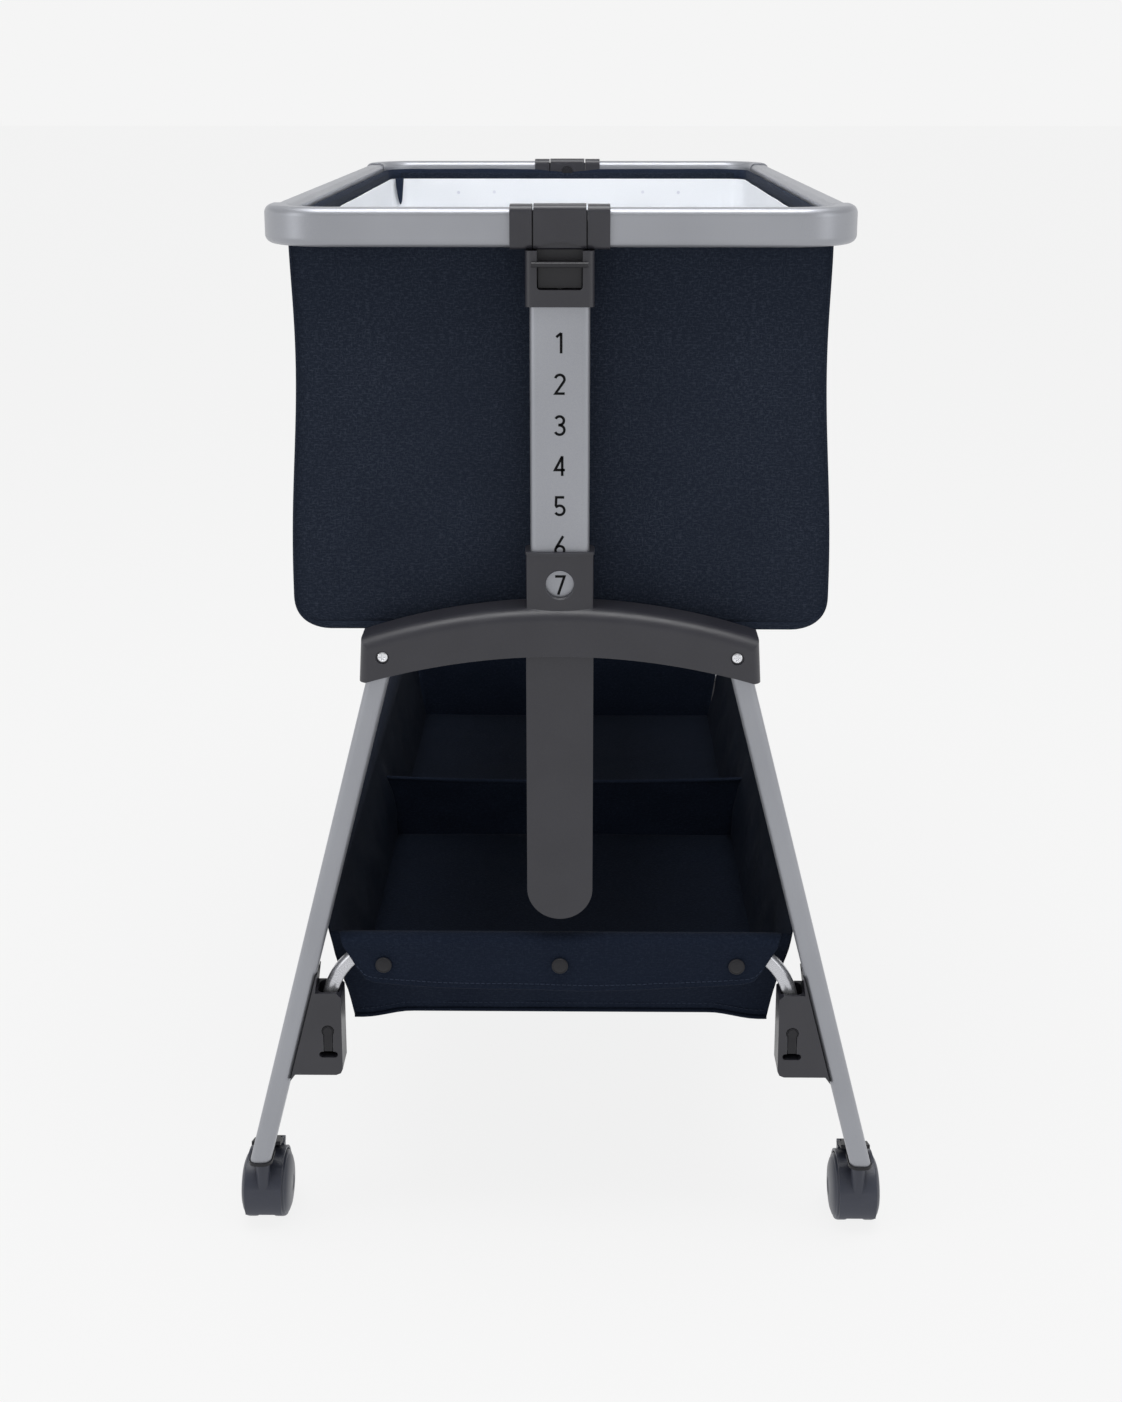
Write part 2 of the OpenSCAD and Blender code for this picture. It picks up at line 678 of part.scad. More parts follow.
arch_near();
arch_far();
post_housing_near();
post_housing_far();
leg_near_left();
leg_near_right();
leg_far_left();
leg_far_right();
arch_bolts();
foot_plugs();
tube_bracket_near_left();
tube_bracket_near_right();
tube_bracket_far_left();
tube_bracket_far_right();
tube_latch_near_left();
tube_latch_near_right();
tube_latch_far_left();
tube_latch_far_right();
cross_tube_near();
cross_tube_far();
side_tube_left();
side_tube_right();
basket();
basket_divider();
basket_flaps();
basket_snaps();
post_near();
post_far();
latch_body_near();
latch_body_far();
hub_near();
hub_far();
release_lever_near();
release_lever_far();
fold_button_near();
fold_button_far();
bag_walls();
bag_bottom();
base_board();
mattress();
rim_side_left();
rim_side_right();
rim_end_near_left();
rim_end_near_right();
rim_end_far_left();
rim_end_far_right();
rim_sockets_left();
rim_sockets_right();
castor_near_left();
castor_near_right();
castor_far_left();
castor_far_right();
wheels_near_left();
wheels_near_right();
wheels_far_left();
wheels_far_right();
brake_near_left();
brake_near_right();
brake_far_left();
brake_far_right();
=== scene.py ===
"""Looks of a bassinet on a height-adjustable stand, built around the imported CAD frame.

Metres. X = width, Y = length (the near end is -Y), Z = up. Fabric pieces replace the plain
CAD solids; rigid CAD nodes stay and get rounded edges and procedural materials.
"""

import math

import bmesh
import bpy
import numpy as np
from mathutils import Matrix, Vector, noise


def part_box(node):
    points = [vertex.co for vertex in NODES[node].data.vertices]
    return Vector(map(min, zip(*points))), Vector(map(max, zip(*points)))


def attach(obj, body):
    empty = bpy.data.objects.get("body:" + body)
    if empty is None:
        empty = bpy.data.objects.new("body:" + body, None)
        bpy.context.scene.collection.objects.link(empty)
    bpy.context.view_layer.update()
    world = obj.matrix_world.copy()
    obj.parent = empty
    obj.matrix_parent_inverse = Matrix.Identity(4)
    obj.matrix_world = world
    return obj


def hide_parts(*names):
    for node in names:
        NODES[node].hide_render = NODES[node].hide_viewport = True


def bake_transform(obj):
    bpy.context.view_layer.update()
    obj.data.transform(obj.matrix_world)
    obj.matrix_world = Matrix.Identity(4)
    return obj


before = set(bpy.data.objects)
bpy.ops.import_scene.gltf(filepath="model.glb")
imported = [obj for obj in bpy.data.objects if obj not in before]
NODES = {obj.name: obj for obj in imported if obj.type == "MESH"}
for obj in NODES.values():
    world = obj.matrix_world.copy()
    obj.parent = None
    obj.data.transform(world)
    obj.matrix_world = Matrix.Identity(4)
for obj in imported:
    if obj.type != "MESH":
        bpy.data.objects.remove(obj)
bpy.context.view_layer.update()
scene = bpy.context.scene

ENDS = {-1: "near", 1: "far"}
SIDES = {-1: "left", 1: "right"}

# ---------------------------------------------------------------- places read from the CAD
bag_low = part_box("bag_bottom")[0]
wall_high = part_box("bag_walls")[1]
post_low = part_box("post_near")[0]
mattress_low, mattress_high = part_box("mattress")
basket_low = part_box("basket")[0]
divider_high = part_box("basket_divider")[1]
flap_low, flap_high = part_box("basket_flaps")
snap_low, snap_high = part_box("basket_snaps")
side_tube_low, side_tube_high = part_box("side_tube_right")
cross_low, cross_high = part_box("cross_tube_near")
bolt_low, bolt_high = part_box("arch_bolts")
rim_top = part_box("rim_end_near_left")[1].z

# ---------------------------------------------------------------- helpers for meshes


def new_piece(name, points, faces, material, uvs=None, smooth=True):
    """A mesh object from points and faces; uvs has one pair per point."""
    mesh = bpy.data.meshes.new(name)
    mesh.from_pydata([tuple(p) for p in points], [], faces)
    mesh.update()
    if uvs is not None:
        layer = mesh.uv_layers.new(name="UVMap")
        flat = np.array([uvs[loop.vertex_index] for loop in mesh.loops], np.float32)
        layer.data.foreach_set("uv", flat.ravel())
    mesh.polygons.foreach_set("use_smooth", [smooth] * len(mesh.polygons))
    mesh.materials.append(material)
    made = bpy.data.objects.new(name, mesh)
    scene.collection.objects.link(made)
    return made


def grid(name, rows, material, closed=False, flip=False):
    """A sheet through rows of points. Its UVs are lengths along the cloth, in metres."""
    high, wide = len(rows), len(rows[0])
    points = [Vector(p) for row in rows for p in row]
    faces = []
    for i in range(high - 1):
        for j in range(wide if closed else wide - 1):
            k = (j + 1) % wide
            face = (i * wide + j, i * wide + k, (i + 1) * wide + k, (i + 1) * wide + j)
            faces.append(face[::-1] if flip else face)
    middle_row = rows[high // 2]
    middle_column = [row[wide // 2] for row in rows]
    us, vs = lengths(middle_row), lengths(middle_column)
    uvs = [(us[j], vs[i]) for i in range(high) for j in range(wide)]
    return new_piece(name, points, faces, material, uvs)


def lengths(path):
    """Distance along a path at each of its points."""
    out = [0.0]
    for a, b in zip(path, path[1:]):
        out.append(out[-1] + (Vector(b) - Vector(a)).length)
    return out


def resample(path, count):
    """count points evenly spaced along a path."""
    where = lengths(path)
    path = np.array([tuple(p) for p in path], float)
    wanted = np.linspace(0, where[-1], count)
    return [Vector([np.interp(w, where, path[:, k]) for k in range(path.shape[1])]) for w in wanted]


def thicken(piece, thickness, offset=0.0):
    """Gives a sheet its cloth's thickness, with sharp borders so that they don't shade its face."""
    uses = np.zeros(len(piece.data.edges), int)
    for loop in piece.data.loops:
        uses[loop.edge_index] += 1
    for edge in piece.data.edges:
        edge.use_edge_sharp = bool(uses[edge.index] == 1)
    made = piece.modifiers.new("thickness", "SOLIDIFY")
    made.thickness = thickness
    made.offset = offset
    made.use_even_offset = False
    return piece


def tube(name, path, radius, material, sides=8, closed=False):
    """A round tube along a path, as a mesh."""
    path = [Vector(p) for p in path]
    rings = []
    count = len(path)
    normal = None
    for i, p in enumerate(path):
        before = path[i - 1] if i > 0 or closed else p
        after = path[(i + 1) % count] if i < count - 1 or closed else p
        tangent = (after - before).normalized()
        if normal is None:
            guess = Vector((0, 0, 1)) if abs(tangent.z) < 0.9 else Vector((1, 0, 0))
            normal = tangent.cross(guess).normalized()
        else:
            normal = (normal - tangent * normal.dot(tangent)).normalized()
        other = tangent.cross(normal)
        rings.append([
            p + radius * (math.cos(a) * normal + math.sin(a) * other)
            for a in (2 * math.pi * k / sides for k in range(sides))
        ])
    made = grid(name, rings + ([rings[0]] if closed else []), material, closed=True)
    if not closed:
        cap_ends(made)
    return made


def cap_ends(piece):
    """Closes a tube's two open ends."""
    work = bmesh.new()
    work.from_mesh(piece.data)
    bmesh.ops.holes_fill(work, edges=[e for e in work.edges if e.is_boundary], sides=0)
    work.to_mesh(piece.data)
    work.free()


def lathe(name, profile, origin, axis, material, segments=48):
    """A turned shape. profile is (distance along axis, radius) pairs."""
    axis = Vector(axis).normalized()
    guess = Vector((0, 0, 1)) if abs(axis.z) < 0.9 else Vector((1, 0, 0))
    first = axis.cross(guess).normalized()
    second = axis.cross(first)
    rows = []
    for along, radius in profile:
        rows.append([
            Vector(origin) + axis * along + radius * (math.cos(a) * first + math.sin(a) * second)
            for a in (2 * math.pi * k / segments for k in range(segments))
        ])
    return grid(name, rows, material, closed=True, flip=True)


def join(name, parts):
    """Joins mesh pieces into one."""
    first = parts[0]
    work = bmesh.new()
    for part in parts:
        part.data.transform(part.matrix_world)
        work.from_mesh(part.data)
    work.to_mesh(first.data)
    work.free()
    for part in parts[1:]:
        bpy.data.objects.remove(part)
    first.name = name
    first.data.name = name
    return first


def stitches(name, path, material, normal_out, pitch=0.0048, dash=0.0034, radius=0.00042):
    """A row of machine stitches: short raised dashes along a path, standing out along normal_out."""
    where = lengths(path)
    count = max(2, int(where[-1] / pitch))
    knots = resample(path, count * 2 + 1)
    out = Vector(normal_out).normalized()
    points, faces = [], []
    for i in range(count):
        a, b = knots[2 * i], knots[2 * i + 1]
        along = (b - a).normalized()
        middle = (a + b) / 2
        side = along.cross(out).normalized() * radius
        half = along * dash / 2
        base = len(points)
        lift = out * radius
        points += [
            middle - half - side, middle - half + side, middle + half + side, middle + half - side,
            middle - half * 0.7 + lift, middle + half * 0.7 + lift,
        ]
        faces += [
            (base, base + 1, base + 4), (base + 1, base + 2, base + 5, base + 4),
            (base + 2, base + 3, base + 5), (base + 3, base, base + 4, base + 5),
            (base + 3, base + 2, base + 1, base),
        ]
    return new_piece(name, points, faces, material)


def wave(p, size, seed=0.0):
    """Smooth, repeatable noise between about -1 and 1 with features of the given size."""
    return noise.noise(Vector(p) / size + Vector((seed, 2 * seed, 3 * seed)))


def ease(t):
    t = min(1.0, max(0.0, t))
    return t * t * (3 - 2 * t)


# ---------------------------------------------------------------- helpers for materials


def srgb(r, g, b):
    """A colour given in 8-bit sRGB, as the linear RGBA that a socket takes."""
    values = [c / 255 for c in (r, g, b)]
    return tuple(c / 12.92 if c <= 0.04045 else ((c + 0.055) / 1.055) ** 2.4 for c in values) + (1.0,)


class Look:
    """A material's node tree, with short ways to add nodes to it."""

    def __init__(self, name, coordinates="Object"):
        self.material = bpy.data.materials.new(name)
        self.material.use_nodes = True
        self.tree = self.material.node_tree
        self.shader = self.tree.nodes["Principled BSDF"]
        self.place = self.tree.nodes.new("ShaderNodeTexCoord").outputs[coordinates]

    def put(self, socket, value):
        if isinstance(value, bpy.types.NodeSocket):
            self.tree.links.new(value, socket)
        else:
            socket.default_value = value

    def set(self, **values):
        for key, value in values.items():
            self.put(self.shader.inputs[key.replace("_", " ")], value)

    def math(self, operation, a, b=0.0):
        made = self.tree.nodes.new("ShaderNodeMath")
        made.operation = operation
        self.put(made.inputs[0], a)
        self.put(made.inputs[1], b)
        return made.outputs[0]

    def mix(self, share, a, b):
        made = self.tree.nodes.new("ShaderNodeMix")
        made.data_type = "RGBA"
        for index, value in ((0, share), (6, a), (7, b)):
            self.put(made.inputs[index], value)
        return made.outputs[2]

    def stretch(self, sizes):
        """The coordinates divided by sizes, so that one unit is one feature."""
        made = self.tree.nodes.new("ShaderNodeMapping")
        self.put(made.inputs["Vector"], self.place)
        made.inputs["Scale"].default_value = tuple(1 / s for s in sizes)
        return made.outputs[0]

    def noise(self, sizes, detail=2.0):
        made = self.tree.nodes.new("ShaderNodeTexNoise")
        made.inputs["Scale"].default_value = 1.0
        made.inputs["Detail"].default_value = detail
        self.put(made.inputs["Vector"], self.stretch(sizes))
        return made.outputs[0]

    def span(self, value, low, high, to_low=0.0, to_high=1.0):
        """value from low..high to to_low..to_high, held at the ends."""
        made = self.tree.nodes.new("ShaderNodeMapRange")
        self.put(made.inputs[0], value)
        for index, number in enumerate((low, high, to_low, to_high), start=1):
            made.inputs[index].default_value = number
        return made.outputs[0]

    def bump(self, height, distance, strength=1.0):
        made = self.tree.nodes.new("ShaderNodeBump")
        made.inputs["Distance"].default_value = distance
        made.inputs["Strength"].default_value = strength
        self.put(made.inputs["Height"], height)
        self.put(self.shader.inputs["Normal"], made.outputs[0])


def grained_plastic(name, colour, lighter, roughness, grain=0.0007, depth=0.00012, gloss=0.3):
    """Moulded plastic: a fine spark-eroded grain, with slight mottling of colour and gloss."""
    look = Look(name)
    patches = look.noise((0.05,) * 3, detail=3.0)
    fine = look.noise((grain,) * 3, detail=2.0)
    tone, spark = look.span(patches, 0.35, 0.65, 0.0, 0.5), look.span(fine, 0.4, 0.7, 0.0, 0.5)
    share = look.math("ADD", tone, spark)
    look.set(
        Base_Color=look.mix(share, colour, lighter),
        Roughness=look.span(patches, 0.3, 0.7, roughness - 0.04, roughness + 0.06),
        Specular_IOR_Level=gloss,
    )
    look.bump(fine, depth, 0.6)
    return look.material


def satin_metal(name, colour, darker, roughness, metallic=0.55):
    """Satin silver coating: a faint sparkle and slow changes of tone."""
    look = Look(name)
    flake = look.noise((0.0006,) * 3, detail=1.0)
    slow = look.noise((0.09, 0.09, 0.14), detail=3.0)
    tone, sparkle = look.span(slow, 0.3, 0.7, 0.0, 0.6), look.span(flake, 0.35, 0.65, 0.0, 0.4)
    share = look.math("ADD", tone, sparkle)
    look.set(
        Base_Color=look.mix(share, colour, darker),
        Metallic=metallic,
        Roughness=look.span(flake, 0.3, 0.7, roughness - 0.03, roughness + 0.05),
    )
    look.bump(flake, 0.00002, 0.3)
    return look.material


def woven(name, dark, light, fleck, slub_share=0.7, roughness=0.86, sheen=0.02):
    """Heathered woven cloth: horizontal and vertical slubs over a fine plain weave."""
    look = Look(name, "UV")
    weft = look.noise((0.0042, 0.0014, 1.0), detail=2.0)
    warp = look.noise((0.0014, 0.0036, 1.0), detail=2.0)
    fine = look.noise((0.0008, 0.0008, 1.0), detail=1.0)
    cloud = look.noise((0.07, 0.07, 1.0), detail=2.0)
    slubs = look.math("MAXIMUM", look.span(weft, 0.5, 0.72), look.span(warp, 0.52, 0.76))
    ground = look.mix(look.span(fine, 0.35, 0.68), dark, light)
    tone = look.mix(look.math("MULTIPLY", slubs, slub_share), ground, fleck)
    shade = look.mix(look.span(cloud, 0.25, 0.75, 0.0, 0.35), tone, dark)
    height = look.math("ADD", look.math("MULTIPLY", slubs, 0.8), fine)
    look.set(
        Base_Color=shade,
        Roughness=look.span(fine, 0.3, 0.7, roughness - 0.05, roughness + 0.05),
        Specular_IOR_Level=0.08,
        Sheen_Weight=sheen,
        Sheen_Roughness=0.5,
    )
    look.bump(height, 0.0005, 0.5)
    return look.material


def dotted_liner(name, ground, shade, dot):
    """White cotton with small soft dots scattered over it."""
    look = Look(name, "UV")
    cells = look.tree.nodes.new("ShaderNodeTexVoronoi")
    cells.inputs["Scale"].default_value = 1.0
    cells.inputs["Randomness"].default_value = 0.75
    look.put(cells.inputs["Vector"], look.stretch((0.024, 0.024, 1.0)))
    inside = look.span(cells.outputs["Distance"], 0.07, 0.1, 1.0, 0.0)
    pick = look.tree.nodes.new("ShaderNodeSeparateColor")
    look.put(pick.inputs[0], cells.outputs["Color"])
    share = look.math("MULTIPLY", inside, look.span(pick.outputs[0], 0.1, 0.9, 0.35, 1.0))
    fine = look.noise((0.0009, 0.0009, 1.0), detail=1.0)
    cloth = look.mix(look.span(fine, 0.3, 0.7), ground, shade)
    look.set(Base_Color=look.mix(share, cloth, dot), Roughness=0.9, Specular_IOR_Level=0.2)
    look.bump(fine, 0.0003, 0.5)
    return look.material


silver = satin_metal("silver_satin", srgb(160, 162, 168), srgb(148, 150, 156), 0.36)
silver_tube = satin_metal("silver_tube", srgb(206, 207, 212), srgb(194, 195, 200), 0.26, metallic=0.7)
chrome = satin_metal("bolt_chrome", srgb(240, 241, 244), srgb(224, 225, 229), 0.2, metallic=0.9)
plastic = grained_plastic("plastic_grey", srgb(40, 40, 46), srgb(49, 49, 55), 0.38, gloss=0.5)
# the bevels' plastic: glossier, and lighter as a painted highlight along the rounded edges
painted_highlight_plastic = grained_plastic("painted_highlight_plastic", srgb(70, 72, 80), srgb(84, 86, 94), 0.28, gloss=0.6)
plastic_dark = grained_plastic("plastic_dark", srgb(28, 28, 32), srgb(36, 36, 40), 0.5)
castor_plastic = grained_plastic("plastic_castor", srgb(52, 55, 66), srgb(61, 64, 75), 0.36, gloss=0.4)
lever_plastic = grained_plastic("plastic_lever", srgb(30, 30, 34), srgb(38, 38, 42), 0.4, gloss=0.4)
navy = woven("cloth_navy", srgb(22, 28, 40), srgb(36, 43, 56), srgb(60, 67, 80), 0.6)
basket_navy = woven("cloth_basket", srgb(15, 22, 36), srgb(24, 32, 47), srgb(40, 48, 62), 0.5)
binding = woven("cloth_binding", srgb(26, 34, 50), srgb(38, 46, 62), srgb(52, 60, 77), 0.4)
thread = woven("thread_navy", srgb(40, 48, 64), srgb(54, 62, 80), srgb(66, 74, 92), 0.3)
liner_cloth = dotted_liner("cloth_liner", srgb(243, 245, 248), srgb(236, 239, 243), srgb(188, 189, 208))
quilt = woven("cloth_quilt", srgb(176, 179, 186), srgb(188, 191, 198), srgb(198, 200, 206), 0.3)
board_brown = grained_plastic("board_brown", srgb(122, 104, 80), srgb(138, 118, 92), 0.7, grain=0.004)
ink = grained_plastic("ink_black", srgb(10, 10, 12), srgb(16, 16, 18), 0.5, grain=0.0015, gloss=0.1)

# ---------------------------------------------------------------- rigid CAD nodes


def dress(names, material, edge=None, highlight_material=None, angle=32.0):
    """Gives CAD nodes a material, and rounds their sharp edges by edge metres. The rounded edges may
    get a second material, glossier and lighter: its lighter colour is a painted highlight.
    """
    for name in names:
        made = NODES[name]
        made.data.materials.clear()
        made.data.materials.append(material)
        if edge is None:
            continue
        if "custom_normal" in made.data.attributes:
            made.data.attributes.remove(made.data.attributes["custom_normal"])
        made.data.polygons.foreach_set("use_smooth", [True] * len(made.data.polygons))
        weld = made.modifiers.new("weld", "WELD")
        weld.merge_threshold = 0.00001
        bevel = made.modifiers.new("round", "BEVEL")
        bevel.width = edge
        bevel.segments = 2
        bevel.limit_method = "ANGLE"
        bevel.angle_limit = math.radians(angle)
        bevel.harden_normals = True
        # the bevel faces take the second material: a painted highlight along the edges
        if highlight_material is not None:
            made.data.materials.append(highlight_material)
            bevel.material = 1
        bevel.use_clamp_overlap = True


def starting(*starts):
    return [n for n in NODES if n.startswith(starts)]


dress(starting("leg_", "rim_end", "rim_side", "post_near", "post_far"), silver)
dress(starting("cross_tube", "side_tube"), silver_tube)
# the plastic parts' rounded edges get the lighter bevel material, a painted edge highlight
dress(starting("arch_near", "arch_far", "post_housing"), plastic, 0.001, painted_highlight_plastic)
dress(starting("latch_body"), plastic, 0.001, painted_highlight_plastic)
dress(starting("hub", "rim_sockets"), plastic, 0.0016, painted_highlight_plastic)
dress(starting("tube_bracket"), plastic, 0.001, painted_highlight_plastic)
dress(starting("tube_latch", "foot_plugs", "fold_button"), plastic_dark, 0.0005)
dress(starting("release_lever"), lever_plastic, 0.0006, painted_highlight_plastic)
dress(starting("castor"), castor_plastic, 0.0014)
dress(starting("brake"), plastic_dark, 0.0007)
dress(["base_board"], board_brown, 0.001)

# ---------------------------------------------------------------- bag: outline and pieces

BAG_TOP = wall_high.z - 0.003
CLOTH = 0.0014
# a bag end is cut as two halves, each as wide as the bag's widest place
end_face = -bag_low.y
# half width of the bag at heights above its lowest point: wide at the rim, waisted, full low down
WIDTH_HEIGHTS = (0.0, 0.03, 0.08, 0.115, 0.17, 0.22, 0.29, 0.34, BAG_TOP - bag_low.z)
WIDTHS = {
    -1: (0.2312, 0.2312, 0.2306, 0.2294, 0.2252, 0.2232, 0.2240, 0.2252, 0.2258),
    1: (0.2316, 0.2318, 0.2312, 0.2300, 0.2262, 0.2242, 0.2250, 0.2258, 0.2258),
}
# the bottom corners: how far in and up they reach, and the power of their superellipse
CORNER_X = 0.036
CORNER_Z = 0.03
CORNER_POWER = 2.5
width_curves = {
    side: np.poly1d(np.polyfit(WIDTH_HEIGHTS, WIDTHS[side], 5)) for side in SIDES
}


def half_width(side, z):
    """Half width of the bag at height z, with its bottom corner rounded as a superellipse."""
    up = z - bag_low.z
    full = float(width_curves[side](max(up, CORNER_Z)))
    if up >= CORNER_Z:
        return full
    share = 1 - up / CORNER_Z
    return full - CORNER_X * (1 - max(0.0, 1 - share**CORNER_POWER) ** (1 / CORNER_POWER))


corner_heights = [bag_low.z + CORNER_Z * (1 - math.cos(a * math.pi / 2 / 16)) for a in range(16)]
bag_heights = corner_heights + list(np.linspace(bag_low.z + CORNER_Z, BAG_TOP, 30))
# the seam line's distance in from the bag's edge, and the radii of the piping and of the thread
SEAM_INSET = 0.0046
WELT_RADIUS = 0.0015
SEAM_RADIUS = 0.0004


def bag_blend(piece):
    """Bakes a bag piece's placement into its mesh."""
    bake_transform(piece)


def outline(side, inset=0.0):
    """From the rim down the side, round the bottom corner and in to the middle."""
    points = []
    for z in reversed(bag_heights):
        points.append(Vector((side * (half_width(side, z) - inset), 0, max(z, bag_low.z + inset))))
    inner = half_width(side, bag_low.z) - inset
    for k in range(1, 13):
        points.append(Vector((side * inner * (1 - k / 12), 0, bag_low.z + inset)))
    return points


def end_point(side, u, z, face):
    """A point on an end panel: u is 0 at the middle and 1 at the piping. A ditch follows the seam."""
    width = half_width(side, z)
    x = side * u * width
    up = (z - bag_low.z) / (BAG_TOP - bag_low.z)
    from_edge = min((1 - u) * width, z - bag_low.z)
    bulge = 0.003 * math.sin(math.pi * min(1.0, u)) ** 0.8 * math.sin(math.pi * up) ** 0.7
    ditch = -0.0013 * math.exp(-(((from_edge - SEAM_INSET) / 0.0011) ** 2))
    roll = 0.0009 * math.exp(-(((from_edge - 0.0022) / 0.0015) ** 2))
    crease = 0.0007 * wave((x, face, z), 0.06, 1.3) + 0.0004 * wave((x, face, z), 0.022, 2.9)
    free = ease(u * 8) * ease(from_edge / 0.02)
    return Vector((x, face * (end_face - 0.0008 + (bulge + crease) * free + ditch + roll), z))


for side in SIDES:
    half = SIDES[side]
    shape = outline(side)
    rows = []
    for p in shape:
        row = []
        for k in range(61):
            y = -end_face + 2 * end_face * k / 60
            along = math.sin(math.pi * k / 60)
            up = ease((p.z - bag_low.z - CORNER_Z) / 0.05) * ease((BAG_TOP - p.z) / 0.05)
            out = (-0.0016 * along + 0.0012 * wave((p.x, y, p.z), 0.09, 4.0)) * up
            row.append(Vector((p.x + side * out, y, p.z)))
        rows.append(row)
    gusset = grid("bag_side_" + half, rows, navy, flip=side > 0)
    thicken(gusset, CLOTH, -1.0)
    bag_blend(gusset)
    for face in ENDS:
        end_name = ENDS[face]
        across = [1 - (1 - k / 36) ** 1.7 for k in range(37)]
        rows = [[end_point(side, u, z, face) for u in across] for z in bag_heights]
        panel = grid(f"bag_end_{end_name}_{half}", rows, navy, flip=(side * face > 0))
        thicken(panel, CLOTH, -1.0)
        path = [p + Vector((0, face * (end_face - 0.0006), 0)) for p in outline(side, 0.0003)]
        welt = tube(f"bag_welt_{end_name}_{half}", path, WELT_RADIUS, navy, sides=8)
        path = [p + Vector((0, face * (end_face - 0.0017), 0)) for p in outline(side, SEAM_INSET)]
        seam = tube(f"bag_seam_{end_name}_{half}", path, SEAM_RADIUS, thread, sides=6)
        area = sum(
            (half_width(side, a) + half_width(side, b)) / 2 * (b - a)
            for a, b in zip(bag_heights, bag_heights[1:])
        )
        for piece in (panel, welt, seam):
            bag_blend(piece)
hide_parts("bag_walls", "bag_bottom")

# ---------------------------------------------------------------- liner and hem band


def plan_half(side, half_x, half_y, radius, steps=10):
    """Half of a rounded rectangle in plan, from the middle of the near end to that of the far."""
    quarter = [Vector((0, -half_y)), Vector((half_x - radius, -half_y))]
    for k in range(1, steps):
        a = math.pi / 2 * k / steps
        x = half_x - radius + radius * math.sin(a)
        y = -half_y + radius - radius * math.cos(a)
        quarter.append(Vector((x, y)))
    quarter.append(Vector((half_x, -half_y + radius)))
    whole = quarter + [Vector((p.x, -p.y)) for p in reversed(quarter)]
    return [Vector((side * p.x, p.y)) for p in resample(whole, 121)]


LINER_GAP = 0.0034
LINER_TOP = rim_top - 0.021
LINER_CORNER = 0.022
# the dark band lies over the liner's top edge
BAND_TOP = rim_top - 0.0095
BAND_LOW = rim_top - 0.0225
BAND_X, BAND_Y, BAND_CORNER = 0.2262, 0.4108, 0.032
HEM_PROUD = 0.0022
liner_low = mattress_low.z + 0.004
for side in SIDES:
    half = SIDES[side]
    rows = []
    for z in np.linspace(liner_low, LINER_TOP, 22):
        x = half_width(side, z) - LINER_GAP
        row = []
        for p in plan_half(side, x, end_face - LINER_GAP, LINER_CORNER):
            ripple = 0.0011 * wave((p.x, p.y, z), 0.05, 7.0) + 0.0006 * wave((p.x, p.y, z), 0.02, 9.0)
            free = ease(abs(p.x) / 0.02)
            inward = Vector((p.x * free, p.y, 0)).normalized() * (-0.0012 + ripple)
            row.append(Vector((p.x + inward.x, p.y + inward.y, z)))
        rows.append(row)
    liner = grid("liner_" + half, rows, liner_cloth, flip=side < 0)
    thicken(liner, 0.0008, 1.0)
    band_rows = []
    for k, z in enumerate(np.linspace(BAND_LOW, BAND_TOP, 7)):
        row = []
        bulge = 0.0009 * math.sin(math.pi * k / 6)
        for p in plan_half(side, BAND_X - bulge, BAND_Y - bulge, BAND_CORNER):
            sag = -0.004 * ease(1 - abs(p.x) / 0.05)
            row.append(Vector((p.x, p.y, z + sag + 0.0006 * wave((p.x, p.y, 0), 0.04, 3.0))))
        band_rows.append(row)
    band = grid("hem_band_" + half, band_rows, binding, flip=side < 0)
    thicken(band, 0.0022, 0.0)
    line = []
    for p in band_rows[1]:
        in_x = -side * HEM_PROUD if abs(p.x) > 0.2 else 0
        in_y = -math.copysign(HEM_PROUD, p.y) if abs(p.y) > 0.38 else 0
        line.append(p + Vector((in_x, in_y, 0)))
    hem_stitch = stitches("hem_stitch_" + half, line, thread, (-side, 0, 0.4))
    for piece in (liner, band, hem_stitch):
        bag_blend(piece)

# the end of the zip that opens one side: a short tapered tape at the far left corner
ZIP_LENGTH = 0.032
ZIP_HALF = 0.0042
ZIP_IN = 0.0105
zip_rows = []
for k in range(13):
    t = k / 12
    z = BAND_LOW + 0.002 - ZIP_LENGTH * t
    width = ZIP_HALF * (1 - t) ** 0.6 + 0.0003
    corner_x = -(half_width(-1, z) - LINER_GAP - ZIP_IN)
    corner_y = end_face - LINER_GAP - ZIP_IN
    row = []
    for j in range(5):
        across = width * (j / 2 - 1)
        row.append(Vector((corner_x + across, corner_y + across, z)))
    zip_rows.append(row)
zip_tape = grid("zip_tape", zip_rows, binding)
thicken(zip_tape, 0.0012, 0.0)
bag_blend(zip_tape)

# ---------------------------------------------------------------- mattress


def to_round_corner(x, y, half_x, half_y, radius):
    """Moves a point of a rectangle so that the rectangle's corners become round."""
    dx = abs(x) - (half_x - radius)
    dy = abs(y) - (half_y - radius)
    if dx <= 0 or dy <= 0:
        return x, y
    scale = max(dx, dy) / math.hypot(dx, dy)
    return (
        math.copysign(half_x - radius + dx * scale, x),
        math.copysign(half_y - radius + dy * scale, y),
    )


# shares of the pad's side from its top edge down, and how far out each stands
PAD_SIDE = ((0.25, 0.0015), (0.5, 0.0018), (0.75, 0.001), (0.95, -0.003), (1.0, -0.02))
PAD_CROWN = 0.009
QUILT_DEPTH = 0.0042
QUILT_WIDTH = 0.011


